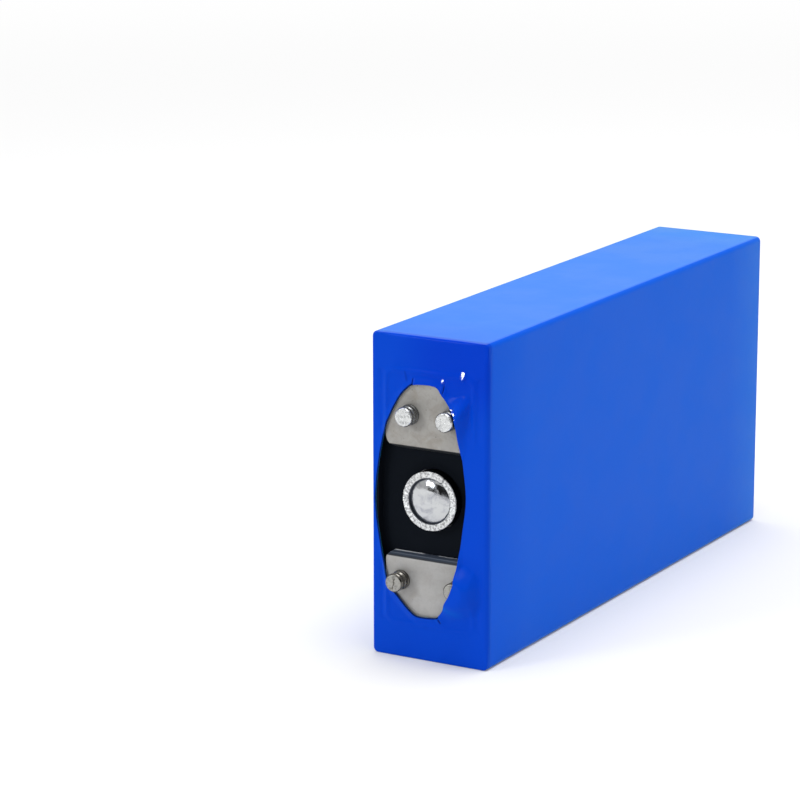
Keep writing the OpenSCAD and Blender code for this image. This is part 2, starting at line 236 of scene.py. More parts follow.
def raise_surface(tree, shader, height, depth):
    """Bump on a shader's surface from a height map, with its depth in millimetres."""
    bump = add(tree, "Bump", {"Height": height, "Distance": depth * MM})
    tree.links.new(bump.outputs["Normal"], shader.inputs["Normal"])


# How many times broader the mottling of a surface is than its grain
BROAD_TO_FINE = 9.0


def make_grain_group():
    """Fine grain and broad mottling of a surface, at a grain size given in millimetres."""
    tree, start, end = new_group("surface_grain", {"Size": 0.3}, ["Fine", "Broad"])
    place = object_place(tree)
    fine_scale = reckon(tree, "DIVIDE", 1 / MM, start["Size"])
    broad_scale = reckon(tree, "DIVIDE", fine_scale, BROAD_TO_FINE)
    fine = add(tree, "TexNoise", {"Vector": place, "Scale": fine_scale, "Detail": 3.0, "Roughness": 0.6})
    broad = add(tree, "TexNoise", {"Vector": place, "Scale": broad_scale, "Detail": 4.0, "Roughness": 0.55})
    tree.links.new(fine.outputs["Fac"], end["Fine"])
    tree.links.new(broad.outputs["Fac"], end["Broad"])
    return tree


def make_speck_group():
    """Mask of scattered specks: cells of a size in millimetres, the share that hold one, and its radius."""
    inputs = {"Size": 3.0, "Share": 0.2, "Radius": 0.1}
    tree, start, end = new_group("scattered_specks", inputs, ["Mask"])
    place = object_place(tree)
    scale = reckon(tree, "DIVIDE", 1 / MM, start["Size"])
    cells = add(tree, "TexVoronoi", {"Vector": place, "Scale": scale, "Randomness": 1.0})
    draw = add(tree, "SeparateColor", {"Color": cells.outputs["Color"]}).outputs["Red"]
    held = reckon(tree, "LESS_THAN", draw, start["Share"])
    reach = times(tree, cells.outputs["Distance"], start["Size"])
    edge = times(tree, start["Radius"], 0.6)
    spread = ranged(tree, reach, edge, start["Radius"], 1.0, 0.0)
    tree.links.new(times(tree, held, spread), end["Mask"])
    return tree


def make_stain_group():
    """Mask of cloudy stains with soft, broken edges, at a size in millimetres."""
    tree, start, end = new_group("cloudy_stains", {"Size": 4.0}, ["Mask"])
    place = object_place(tree)
    scale = reckon(tree, "DIVIDE", 1 / MM, start["Size"])
    cloud = add(tree, "TexNoise", {"Vector": place, "Scale": scale, "Detail": 6.0, "Roughness": 0.62,
                                   "Distortion": 0.8})
    tree.links.new(ranged(tree, cloud.outputs["Fac"], 0.44, 0.68), end["Mask"])
    return tree


grain_group = make_grain_group()
speck_group = make_speck_group()
stain_group = make_stain_group()


def put(tree, group, **inputs):
    """A shader group placed in a material, with its own values."""
    made = tree.nodes.new("ShaderNodeGroup")
    made.node_tree = group
    for name, value in inputs.items():
        made.inputs[name].default_value = value
    return made.outputs


def new_material(name, **sockets):
    """A material with its shader, and the shader's plain values set on its own sockets."""
    material = bpy.data.materials.new(name)
    material.use_nodes = True
    tree = material.node_tree
    shader = tree.nodes["Principled BSDF"]
    for label, value in sockets.items():
        shader.inputs[label.replace("_", " ").title().replace("Ior", "IOR")].default_value = value
    return material, tree, shader


def grained_finish(name, dark, light, rough, size=0.4, depth=0.02, **sockets):
    """A finish with mottled colour, uneven gloss and a fine grain; sizes in millimetres."""
    material, tree, shader = new_material(name, **sockets)
    surface = put(tree, grain_group, Size=size)
    colour = blend_colour(tree, surface["Broad"], (*dark, 1), (*light, 1))
    tree.links.new(colour, shader.inputs["Base Color"])
    tree.links.new(uneven(tree, surface["Fine"], *rough), shader.inputs["Roughness"])
    raise_surface(tree, shader, surface["Fine"], depth)
    return material


# Places on the film that its finish and its shape share

# Edge of the front opening, round from the top left: across, up, and lift off the cap
OPENING = [
    (-3.9, 24.5, 0.4), (-1.8, 24.75, 0.35), (0.3, 24.8, 0.35), (2.0, 24.3, 0.3), (3.9, 22.0, 0.4),
    (5.3, 20.6, 1.0), (6.6, 19.5, 2.2), (7.2, 18.1, 2.6), (7.2, 16.4, 1.9), (7.2, 13.1, 0.8),
    (8.0, 7.8, -0.3), (8.6, 1.1, -0.7), (7.7, -6.3, -0.3), (7.0, -12.0, 0.6), (7.4, -15.5, 2.5),
    (7.05, -17.2, 3.45), (6.4, -18.8, 3.4), (5.1, -20.95, 2.4), (3.7, -23.0, 1.3), (2.4, -24.6, 0.7),
    (1.2, -25.1, 0.45), (-1.0, -25.3, 0.5), (-2.9, -25.25, 0.5), (-3.9, -24.75, 0.55), (-5.6, -23.3, 0.6),
    (-7.6, -21.3, 0.55), (-9.1, -19.8, 0.5), (-10.4, -16.8, 0.3), (-12.0, -9.0, 0.1), (-13.0, -1.0, 0.0),
    (-11.8, 8.9, 0.1), (-9.9, 16.0, 0.35), (-7.2, 21.3, 0.4), (-5.2, 23.6, 0.4),
]
OPENING_CENTRE = (-2.0, 0.5)
# From this point on, a dark strip runs along the opening's edge, partly the film's thick rolled edge and
# partly painted shade under the lifted edge: half width of the strip, and how dark it is
DARK_EDGE_FROM = 19
DARK_EDGE_W = 0.4
DARK_EDGE_TONE = 0.92
# Where the front is painted deeper blue towards its upper right, a painted dark reflection: start and end,
# across and up
PAINTED_DARK_ACROSS = (-11, 3)
PAINTED_DARK_UP = (16, 27)
# Depths at which the film's sides take over from its front, and at which the marks on the front end
SIDES_FROM = (0.3, 2.5)
FRONT_ENDS = (0.3, 0.9)
# Painted sheen on the top, pale cyan painted where light grazes it: how far below the top it starts and is
# full, and its strength
TOP_SHEEN_FROM = (0.2, 0.1)
TOP_SHEEN = 0.08
# Small flat facets of film drawn tight and glossy: across, up, half width, half height, lift at the middle
FACETS = [
    (7.95, 27.85, 0.42, 0.66, 0.34), (3.1, 26.05, 0.28, 0.36, 0.2), (5.75, 20.2, 0.5, 0.36, 1.35),
    (6.5, 19.75, 0.4, 0.36, 2.05), (6.85, 18.75, 0.25, 0.3, 2.5),
]
# How far a facet leans back, as lift lost for each millimetre up
FACET_LEAN = 0.4
# Thin creases where the film is pinched double, with painted shade along them: start and end, across and up
CREASES = [
    ((-3.95, 24.3), (-3.95, 26.0)), ((3.2, 23.3), (3.5, 25.2)), ((2.3, -25.2), (2.8, -26.3)),
    ((-5.4, 25.0), (-6.0, 27.4)),
]
# How dark the painted shade along each crease is, and its half width
CREASE_SHADE = [(0.8, 0.16), (0.9, 0.16), (0.75, 0.22), (0.25, 0.3)]


# Finishes that show


def front_spot(tree, place, across, up, half_w, half_h):
    """Mask of an oval on the terminal end."""
    off = add(tree, "VectorMath", {0: place, 1: spot(across, up, 0)}, operation="SUBTRACT").outputs["Vector"]
    scale = (1 / (half_w * MM), 0.0, 1 / (half_h * MM))
    share = add(tree, "VectorMath", {0: off, 1: scale}, operation="MULTIPLY").outputs["Vector"]
    reach = add(tree, "VectorMath", {0: share}, operation="LENGTH").outputs["Value"]
    return ranged(tree, reach, 1.0, 1.6, 1.0, 0.0)


def front_line(tree, place, start, end, half_w, full=0.5):
    """Mask of a short line on the terminal end, at its full strength over a share of its length."""
    first = spot(*start, 0)
    last = spot(*end, 0)
    way = (last - first).normalized()
    across = Vector((way.z, 0, -way.x))
    off = add(tree, "VectorMath", {0: place, 1: (first + last) / 2}, operation="SUBTRACT").outputs["Vector"]
    masks = []
    for direction, half, inner in ((way, (last - first).length / 2, full), (across, half_w * MM, 0.5)):
        reach = add(tree, "VectorMath", {0: off, 1: direction}, operation="DOT_PRODUCT").outputs["Value"]
        masks.append(ranged(tree, reckon(tree, "ABSOLUTE", reach), half * inner, half * 1.2, 1.0, 0.0))
    return times(tree, *masks)


def film_colour(tree, place, surface, sides, on_front):
    """Deep blue over the black cap and lighter on the long faces, partly the film over the bright can and
    partly painted light, with a painted dark reflection at the front's upper right, painted sheen on the top,
    painted shade along the creases, and a dark strip along the opening's edge that is partly its rolled edge
    and partly painted shade.
    """
    at = axes(tree, place)
    deep = blend_colour(tree, surface["Broad"], (0.0008, 0.052, 0.54, 1), (0.0012, 0.058, 0.58, 1))
    light = blend_colour(tree, surface["Broad"], (0.001, 0.074, 0.64, 1), (0.0015, 0.085, 0.68, 1))
    # Painted dark reflection: the front's upper right is coloured deeper blue, as if it mirrored the dark
    # opening.
    painted_dark_reflection = times(tree, ranged(tree, at["X"], *(MIDDLE.x + across * MM for across in PAINTED_DARK_ACROSS)),
                   ranged(tree, at["Z"], *(MIDDLE.z + up * MM for up in PAINTED_DARK_UP)))
    deep = blend_colour(tree, painted_dark_reflection, deep, (0.0, 0.039, 0.53, 1))
    # Lighter long faces: partly the film over the bright can, partly painted light on the sides.
    blue = blend_colour(tree, sides, deep, light)
    # Painted sheen: pale cyan painted into the top, where light grazes the film.
    dust_and_sheen = ranged(tree, at["Z"], *(film_high.z - below * MM for below in TOP_SHEEN_FROM), 0.0, TOP_SHEEN)
    blue = blend_colour(tree, dust_and_sheen, blue, (0.66, 0.95, 1.0, 1))
    # Painted shade: dark lines painted along the creases.
    for (start, end), (shade_share, half_w) in zip(CREASES, CREASE_SHADE):
        line = times(tree, front_line(tree, place, start, end, half_w), on_front)
        blue = blend_colour(tree, times(tree, line, shade_share), blue, (0.0005, 0.006, 0.12, 1))
    # Dark strip along the opening's edge: partly the rolled film edge, partly painted shade under the lifted
    # edge.
    edge = closed_curve(OPENING, 2)[2 * DARK_EDGE_FROM:, :2].tolist() + [list(OPENING[0][:2])]
    lines = [front_line(tree, place, start, end, DARK_EDGE_W, 1.0) for start, end in zip(edge, edge[1:])]
    dark_edge = times(tree, strongest(tree, lines), on_front)
    return blend_colour(tree, times(tree, dark_edge, DARK_EDGE_TONE), blue, (0.0, 0.004, 0.05, 1))


def film_finish():
    """Heat-shrunk blue film, glossier on the front, with a clear coat on the facets that are drawn tight."""
    sockets = {"specular_ior_level": 0.035, "sheen_weight": 0.5, "sheen_roughness": 0.34,
               "sheen_tint": (0.05, 0.8, 1.0, 1), "coat_roughness": 0.06, "coat_ior": 1.8}
    material, tree, shader = new_material("blue_film", **sockets)
    place = object_place(tree)
    along = axes(tree, place)["Y"]
    surface = put(tree, grain_group, Size=1.6)
    sides = ranged(tree, along, *map(behind, SIDES_FROM))
    on_front = ranged(tree, along, *map(behind, FRONT_ENDS), 1.0, 0.0)
    tree.links.new(film_colour(tree, place, surface, sides, on_front), shader.inputs["Base Color"])
    tight = strongest(tree, [front_spot(tree, place, *facet[:4]) for facet in FACETS])
    tree.links.new(times(tree, tight, on_front), shader.inputs["Coat Weight"])
    gloss = uneven(tree, surface["Broad"], 0.2, 0.26)
    dull = uneven(tree, surface["Broad"], 0.3, 0.42)
    tree.links.new(blend_value(tree, sides, gloss, dull), shader.inputs["Roughness"])
    stretched = add(tree, "Mapping", {"Vector": place, "Scale": (1.0, 0.35, 1.0)}).outputs["Vector"]
    wave = add(tree, "TexNoise", {"Vector": stretched, "Scale": 1 / (9 * MM), "Detail": 2.0,
                                  "Roughness": 0.4})
    ripple = add(tree, "Bump", {"Height": wave.outputs["Fac"], "Distance": 0.08 * MM, "Strength": 0.6})
    peel = add(tree, "Bump", {"Height": surface["Fine"], "Distance": 0.012 * MM,
                              "Normal": ripple.outputs["Normal"]})
    tree.links.new(peel.outputs["Normal"], shader.inputs["Normal"])
    return material


def nickel_finish():
    """Satin nickel sheet with faint stains, pits and a fine grain; its bent-back wall is coloured dark, near
    black on the upper plate as painted shadow and darkest at the bend as painted shade, with painted
    highlights along the middle and the top edge of the lower plate's wall.
    """
    material, tree, shader = new_material("nickel")
    at = axes(tree, object_place(tree))
    along = at["Y"]
    wall = ranged(tree, along, behind(0.16), behind(0.25))
    bend = ranged(tree, along, behind(0.3), behind(0.6), 0.8, 0.0)
    upper = ranged(tree, at["Z"], MIDDLE.z - 1 * MM, MIDDLE.z + 1 * MM)
    lower = reckon(tree, "SUBTRACT", 1.0, upper)
    # Painted highlight: a thin lighter line painted along the middle of the lower plate's wall.
    painted_mid_highlight = times(tree, ranged(tree, along, behind(0.8), behind(0.95)),
                ranged(tree, along, behind(1.0), behind(1.15), 1.0, 0.0))
    wall_top_edge = ranged(tree, along, behind(1.6), behind(1.8))
    surface = put(tree, grain_group, Size=0.35)
    stains = put(tree, stain_group, Size=5.0)["Mask"]
    mottle = put(tree, stain_group, Size=1.3)["Mask"]
    pits = put(tree, speck_group, Size=1.1, Share=0.3, Radius=0.16)["Mask"]
    face = blend_colour(tree, surface["Broad"], (0.29, 0.28, 0.262, 1), (0.41, 0.397, 0.376, 1))
    face = blend_colour(tree, times(tree, mottle, 0.45), face, (0.25, 0.238, 0.222, 1))
    face = blend_colour(tree, times(tree, stains, 0.6), face, (0.27, 0.245, 0.21, 1))
    face = blend_colour(tree, times(tree, pits, 0.7), face, (0.14, 0.13, 0.12, 1))
    face = blend_colour(tree, ranged(tree, upper, 0.0, 1.0, 0.3, 0.0), face, (0.52, 0.525, 0.54, 1))
    # Bent-back wall: dark slate on the lower plate, near black on the upper plate as painted shadow, darker
    # still where it turns from the flat as painted shade.
    slate = blend_colour(tree, upper, (0.034, 0.047, 0.072, 1), (0.012, 0.014, 0.018, 1))
    slate = blend_colour(tree, bend, slate, (0.007, 0.009, 0.013, 1))
    colour = blend_colour(tree, wall, face, slate)
    colour = blend_colour(tree, times(tree, times(tree, painted_mid_highlight, lower), 0.5), colour, (0.2, 0.24, 0.3, 1))
    # Painted highlight: a broken pale line painted along the top edge of the lower plate's wall.
    painted_edge_highlight = times(tree, times(tree, wall_top_edge, lower), ranged(tree, surface["Broad"], 0.38, 0.55))
    colour = blend_colour(tree, painted_edge_highlight, colour, (0.6, 0.62, 0.65, 1))
    tree.links.new(colour, shader.inputs["Base Color"])
    tree.links.new(ranged(tree, wall, 0.0, 1.0, 0.3, 0.0), shader.inputs["Metallic"])
    tree.links.new(uneven(tree, surface["Fine"], 0.5, 0.6), shader.inputs["Roughness"])
    raise_surface(tree, shader, reckon(tree, "SUBTRACT", surface["Fine"], pits), 0.012)
    return material


def black_finish():
    """Satin moulded plastic with a fine spark-eroded texture and a little dust."""
    material, tree, shader = new_material("black_plastic", specular_ior_level=0.035)
    surface = put(tree, grain_group, Size=0.25)
    dust_and_sheen = put(tree, speck_group, Size=4.5, Share=0.16, Radius=0.16)["Mask"]
    black = blend_colour(tree, surface["Broad"], (0.0036, 0.0052, 0.0084, 1), (0.0048, 0.0068, 0.0106, 1))
    dusty = blend_colour(tree, times(tree, dust_and_sheen, 0.35), black, (0.16, 0.17, 0.18, 1))
    tree.links.new(dusty, shader.inputs["Base Color"])
    tree.links.new(uneven(tree, surface["Fine"], 0.6, 0.75), shader.inputs["Roughness"])
    raise_surface(tree, shader, surface["Fine"], 0.015)
    return material


def weld_finish():
    """Bead-welded aluminium: bright grains with dark pits between them, and painted shade on its inner and
    outer walls.
    """
    material, tree, shader = new_material("vent_aluminium", metallic=1.0)
    place = object_place(tree)
    along = axes(tree, place)["Y"]
    off = add(tree, "VectorMath", {0: place, 1: spot(*centre_of("vent_ring"), 0)},
              operation="SUBTRACT").outputs["Vector"]
    flat = add(tree, "VectorMath", {0: off, 1: (1, 0, 1)}, operation="MULTIPLY").outputs["Vector"]
    reach = add(tree, "VectorMath", {0: flat}, operation="LENGTH").outputs["Value"]
    inner_wall_shade = ranged(tree, reach, (SEAT_R + 0.02) * MM, (SEAT_R + 0.12) * MM, 1.0, 0.0)
    outside = times(tree, ranged(tree, reach, (RING_R - 0.3) * MM, (RING_R - 0.15) * MM),
                    ranged(tree, along, behind(RING_FRONT + 0.2), behind(RING_FRONT + 0.45)))
    surface = put(tree, grain_group, Size=0.55)
    grains = ranged(tree, surface["Fine"], 0.36, 0.58)
    colour = blend_colour(tree, grains, (0.33, 0.33, 0.34, 1), (0.78, 0.79, 0.79, 1))
    # Painted shade: the inner wall by the seat and the outer wall in the recess are painted dark.
    colour = blend_colour(tree, inner_wall_shade, colour, (0.12, 0.13, 0.155, 1))
    colour = blend_colour(tree, outside, colour, (0.015, 0.017, 0.02, 1))
    tree.links.new(colour, shader.inputs["Base Color"])
    tree.links.new(uneven(tree, surface["Fine"], 0.5, 0.28), shader.inputs["Roughness"])
    raise_surface(tree, shader, surface["Fine"], 0.14)
    return material


def disc_finish():
    """Bright pressed aluminium with faint smears and a few small dark specks, with painted shade at its foot.
    """
    material, tree, shader = new_material("disc_aluminium", metallic=1.0)
    along = axes(tree, object_place(tree))["Y"]
    painted_foot_shade = ranged(tree, along, behind(DISC_FRONT - 0.05), behind(DISC_FRONT - 0.01))
    surface = put(tree, grain_group, Size=0.5)
    smears = put(tree, stain_group, Size=2.2)["Mask"]
    dark_specks = put(tree, speck_group, Size=0.8, Share=0.3, Radius=0.1)["Mask"]
    colour = blend_colour(tree, smears, (0.55, 0.56, 0.57, 1), (0.4, 0.41, 0.44, 1))
    colour = blend_colour(tree, times(tree, dark_specks, 0.6), colour, (0.3, 0.3, 0.31, 1))
    # Painted shade at the dome's foot, in the seat.
    colour = blend_colour(tree, painted_foot_shade, colour, (0.15, 0.16, 0.19, 1))
    tree.links.new(colour, shader.inputs["Base Color"])
    tree.links.new(ranged(tree, smears, 0.0, 1.0, 0.1, 0.24), shader.inputs["Roughness"])
    raise_surface(tree, shader, surface["Broad"], 0.1)
    return material


def end_mask(tree, end_depth, start, stop):
    """1 on the outer end of a post, falling to 0 on its side between two distances behind the end."""
    along = axes(tree, object_place(tree))["Y"]
    return ranged(tree, along, behind(end_depth + start), behind(end_depth + stop), 1.0, 0.0)


def pale_post_finish(end_depth):
    """Aluminium post: pale granular end with grey marks, and a drawn side whose darker colour is painted
    shade.
    """
    material, tree, shader = new_material("post_aluminium", metallic=1.0)
    end = end_mask(tree, end_depth, 0.1, 0.3)
    surface = put(tree, grain_group, Size=0.3)
    marks = times(tree, put(tree, stain_group, Size=0.9)["Mask"], 0.8)
    pale = blend_colour(tree, marks, (0.68, 0.69, 0.69, 1), (0.3, 0.31, 0.32, 1))
    # Painted shade: the drawn side is coloured dark.
    drawn_side_shade = blend_colour(tree, surface["Broad"], (0.1, 0.103, 0.105, 1), (0.28, 0.285, 0.29, 1))
    tree.links.new(blend_colour(tree, end, drawn_side_shade, pale), shader.inputs["Base Color"])
    tree.links.new(uneven(tree, surface["Fine"], 0.2, 0.38), shader.inputs["Roughness"])
    coarse = ranged(tree, end, 0.0, 1.0, 0.15, 1.0)
    raise_surface(tree, shader, times(tree, surface["Fine"], coarse), 0.06)
    return material


# Line scored across the end of a plated post, across and up from its middle
SCORE = [(-0.25, -1.35), (-0.1, -0.7), (0.12, -0.1), (0.05, 0.5), (0.3, 1.0)]
SCORE_HALF_W = 0.13


def plated_post_finish(end_depth):
    """Polished plated side, and a satin end where the plating is rubbed, with a dark scored line."""
    material, tree, shader = new_material("post_plated", metallic=1.0)
    place = object_place(tree)
    end = end_mask(tree, end_depth, 0.03, 0.1)
    surface = put(tree, grain_group, Size=0.3)
    marks = put(tree, stain_group, Size=0.7)["Mask"]
    satin = blend_colour(tree, marks, (0.39, 0.383, 0.36, 1), (0.2, 0.195, 0.185, 1))
    for side in ("left", "right"):
        across, up = centre_of(f"negative_post_{side}")
        for start, stop in zip(SCORE, SCORE[1:]):
            first = (across + start[0], up + start[1])
            last = (across + stop[0], up + stop[1])
            line = front_line(tree, place, first, last, SCORE_HALF_W)
            satin = blend_colour(tree, line, satin, (0.05, 0.045, 0.03, 1))
    colour = blend_colour(tree, end, (0.14, 0.133, 0.122, 1), satin)
    tree.links.new(colour, shader.inputs["Base Color"])
    polished = uneven(tree, surface["Broad"], 0.06, 0.12)
    rubbed = uneven(tree, surface["Fine"], 0.4, 0.55)
    tree.links.new(blend_value(tree, end, polished, rubbed), shader.inputs["Roughness"])
    raise_surface(tree, shader, surface["Fine"], 0.012)
    return material


# Plain finishes: dark and light colour, least and most roughness, then grain size and depth if they differ
GRAINED = {
    "base_patch": ((0.52, 0.52, 0.47), (0.68, 0.68, 0.63), (0.7, 0.85), 0.5, 0.05),
    "seal_plastic": ((0.66, 0.65, 0.6), (0.78, 0.77, 0.72), (0.4, 0.55)),
    "insulator_plastic": ((0.7, 0.68, 0.6), (0.8, 0.78, 0.7), (0.4, 0.55)),
    "positive_coating": ((0.065, 0.065, 0.07), (0.095, 0.095, 0.1), (0.7, 0.85), 0.2),
    "negative_coating": ((0.04, 0.044, 0.044), (0.06, 0.066, 0.066), (0.6, 0.75), 0.2),
    "separator_film": ((0.8, 0.8, 0.8), (0.88, 0.88, 0.88), (0.5, 0.65)),
    "tape": ((0.08, 0.4, 0.22), (0.12, 0.5, 0.28), (0.3, 0.45)),
    "bag_film": ((0.7, 0.73, 0.75), (0.79, 0.82, 0.84), (0.25, 0.4)),
}
GRAINED_METAL = {
    "can_aluminium": ((0.70, 0.70, 0.71), (0.82, 0.82, 0.83), (0.28, 0.42), 0.4, 0.01),
    "copper": ((0.70, 0.36, 0.22), (0.86, 0.5, 0.34), (0.25, 0.4), 0.4, 0.01),
}
FINISHES = {
    "blue_film": film_finish(),
    "nickel": nickel_finish(),
    "black_plastic": black_finish(),
    "vent_aluminium": weld_finish(),
    "disc_aluminium": disc_finish(),
    "post_aluminium": pale_post_finish(depths("positive_post_left")[0]),
    "post_plated": plated_post_finish(depths("negative_post_left")[0]),
}
for name, values in GRAINED.items():
    FINISHES[name] = grained_finish(name, *values)
for name, values in GRAINED_METAL.items():
    FINISHES[name] = grained_finish(name, *values, metallic=1.0)


# Making of pieces


def place_piece(name, shape, slot, node, sharp=30):
    """The finished shape as a piece on the cell, in place of its CAD node."""
    mesh = bpy.data.meshes.new(name)
    shape.to_mesh(mesh)
    shape.free()
    mesh.materials.append(FINISHES[slot])
    mesh.shade_smooth()
    mesh.set_sharp_from_angle(angle=math.radians(sharp))
    piece = bpy.data.objects.new(name, mesh)
    bpy.context.scene.collection.objects.link(piece)
    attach(piece, "root")
    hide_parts(node)
    return piece


def turned(profile, across, up, steps, round_r, step, closed=False):
    """A turned shape on an axis along the depth, from radii and depths, with its corners rounded."""
    shape = bmesh.new()
    points = [shape.verts.new(spot(across + radius, up, depth)) for radius, depth in profile]
    pairs = list(zip(points, points[1:]))
    corners = points[1:-1]
    if closed:
        pairs.append((points[-1], points[0]))
        corners = points
    for pair in pairs:
        shape.edges.new(pair)
    bmesh.ops.bevel(shape, geom=corners, offset=round_r * MM, offset_type="OFFSET", affect="VERTICES",
                    segments=3, profile=0.5, material=-1, clamp_overlap=True)
    for edge in list(shape.edges):
        cuts = int(edge.calc_length() / (step * MM))
        if cuts:
            bmesh.ops.subdivide_edges(shape, edges=[edge], cuts=cuts)
    bmesh.ops.spin(shape, geom=shape.verts[:] + shape.edges[:], cent=spot(across, up, 0), axis=(0, 1, 0),
                   angle=2 * math.pi, steps=steps, use_merge=True)
    bmesh.ops.remove_doubles(shape, verts=shape.verts, dist=0.001 * MM)
    bmesh.ops.recalc_face_normals(shape, faces=shape.faces)
    return shape


def move_along_normals(shape, across, up, push):
    """Moves each point out by push(radius, angle, depth, across, up), in millimetres."""
    shape.normal_update()
    moves = []
    for point in shape.verts:
        place = (point.co - spot(across, up, 0)) / MM
        radius = math.hypot(place.x, place.z)
        angle = math.atan2(place.z, place.x)
        moves.append(point.normal * push(radius, angle, place.y, place.x, place.z) * MM)
    for point, move in zip(shape.verts, moves):
        point.co += move


# Blue film sleeve

# Radius of the film's long edges, and of its end edges: the least one, and on the front's right and top
LONG_EDGE_R = 1.15
LEAST_EDGE_R = 0.35
RIGHT_EDGE_R = 1.0
TOP_EDGE_R = 0.8
# Way along a side over which its end edge grows from the least radius
EDGE_GROWTH = 5
FILM_T = 0.15
# Steps of the film's mesh: round a corner, along the short and the long sides, and rings from front to back
CORNER_STEPS = 5
SHORT_SIDE_STEP = 0.22
LONG_SIDE_STEP = 0.36
FRONT_RINGS = 40
EDGE_RINGS = 5
LENGTH_RINGS = 8
BACK_RINGS = 10

# Oval that the film leaves open on the base
BASE_OPENING = (7.5, 26.0)
# Where the patch on the base holds the film up: half width, half height, corner radius
PATCH_MARGIN = 0.5
patch_low, patch_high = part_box("base_patch")
PATCH_RAISED = (
    (patch_high.x - patch_low.x) / (2 * MM) + PATCH_MARGIN,
    (patch_high.z - patch_low.z) / (2 * MM) + PATCH_MARGIN,
    1.0,
)
# Small pimples in the front film: across, up, width, height, and how much taller than wide
PIMPLES = [
    (-8.3, 29.2, 1.2, 0.15, 1.3), (-5.7, 25.7, 0.5, 0.15, 1.6),
]
# Short puckers that run out from the opening, a crease between two raised lips: start, end, and height
PUCKERS = [
    ((-3.9, 24.3), (-3.9, 26.1), 0.3), ((3.1, 23.4), (3.6, 25.8), 0.4),
    ((-6.4, 22.4), (-6.7, 24.2), 0.2), ((2.3, -24.4), (2.75, -26.1), 0.4),
]
LIP_W = 0.75
CREASE_W = 0.22
# Outline of the terminal plates that shows through the film: half width, half height, corner radius
PLATE_RIDGE = (10.4, 27.3, 2.2)
RIDGE_RISE = 0.2
RIDGE_W = 0.5
# Shallow groove beside the plates, where it is, and how far up and down it runs
GROOVE_DEPTH = 0.12
GROOVE_W = 0.6
GROOVE_ACROSS = 11.6
GROOVE_END = 27
# The film lies over the plates from this far up or down, and fully that much further
OVER_PLATE_FROM = 12
OVER_PLATE_FADE = 4
# Post that the film is drawn over: across, up, height of the drape, its flat radius and its reach
DRAPED_POST = (6.95, -18.0, 3.42, 2.05, 5.6)
# How much further the drape reaches below its post, and how softly it meets the lifted edge
DRAPE_BELOW = 1.8
DRAPE_BLEND = 0.5
# Reach of a lifted edge, and how much that grows with its lift
LIFT_REACH = 1.5
LIFT_GROWTH = 1.6
# Share of its height that a pucker loses towards its end
PUCKER_FADE = 0.7
# Reach of a facet in half sizes, and how much of that is its fade
FACET_EDGE = 2.1
FACET_FADE = 0.8
# Crowding of the front rings towards the opening, and the strip by the front edge that stays flat
RING_CROWDING = 1.4
FLAT_STRIP = 1.2
# Slack of the film along its sides, on average, and the length over which it wanders
SLACK = 0.03
SLACK_WAVE = 26
# Back film: how far it sinks beside the patch, and over what way from the edge and from the patch
BACK_SAG = 0.2
EDGE_FADE = 0.6
PATCH_FADE = 0.5
# Folds of the back film: height, where they start and grow, and how uneven the oval is
BACK_FOLD = 0.06
FOLD_FROM = 2
FOLD_FADE = 4
OVAL_UNEVEN = 0.05


def film_outline():
    """Points round the film's cross section, and the outward direction at each."""
    spots, ways = [], []
    half_w = FILM_W / 2 - LONG_EDGE_R
    half_h = FILM_H / 2 - LONG_EDGE_R
    corners = [(half_w, half_h), (-half_w, half_h), (-half_w, -half_h), (half_w, -half_h)]
    for i, corner in enumerate(corners):
        for step in range(CORNER_STEPS + 1):
            turn = math.radians(90 * (i + step / CORNER_STEPS))
            ways.append((math.cos(turn), math.sin(turn)))
            spots.append(np.array(corner) + LONG_EDGE_R * np.array(ways[-1]))
        first = spots[-1]
        last = np.array(corners[(i + 1) % 4]) + LONG_EDGE_R * np.array(ways[-1])
        side_step = LONG_SIDE_STEP if i % 2 else SHORT_SIDE_STEP
        count = round(np.linalg.norm(last - first) / side_step)
        for step in range(1, count):
            spots.append(first + (last - first) * step / count)
            ways.append(ways[-1])
    return np.array(spots), np.array(ways)


def curve_at(curve, centre, places):
    """Points of a closed curve in the same directions from its centre as the given places."""
    around = np.arctan2(curve[:, 1] - centre[1], curve[:, 0] - centre[0])
    order = np.argsort(around)
    wanted = np.arctan2(places[:, 1] - centre[1], places[:, 0] - centre[0])
    columns = [np.interp(wanted, around[order], column[order], period=2 * np.pi) for column in curve.T]
    return np.stack(columns, 1)


def box_distance(x, z, half_w, half_h, corner_r):
    """Distance from the edge of a rectangle with round corners, negative inside."""
    out_x = np.abs(x) - half_w + corner_r
    out_z = np.abs(z) - half_h + corner_r
    outside = np.hypot(np.maximum(out_x, 0), np.maximum(out_z, 0))
    return outside + np.minimum(np.maximum(out_x, out_z), 0) - corner_r


def drape_over(x, z, height):
    """Height of the front film with its drape over the covered post, softly joined to what is there."""
    post_x, post_z, top, flat_r, reach = DRAPED_POST
    from_post = np.hypot(x - post_x, z - post_z)
    spread = reach - flat_r + DRAPE_BELOW * np.maximum(post_z - z, 0) / np.maximum(from_post, 0.1)
    drape = top * smooth(1 - (from_post - flat_r) / spread)
    higher = np.maximum(height, drape)
    shared = np.maximum(height * drape, 0) * np.clip(1 - (higher / top) ** 2, 0, 1)
    return (height + drape + np.sqrt((height - drape) ** 2 + DRAPE_BLEND * shared)) / 2


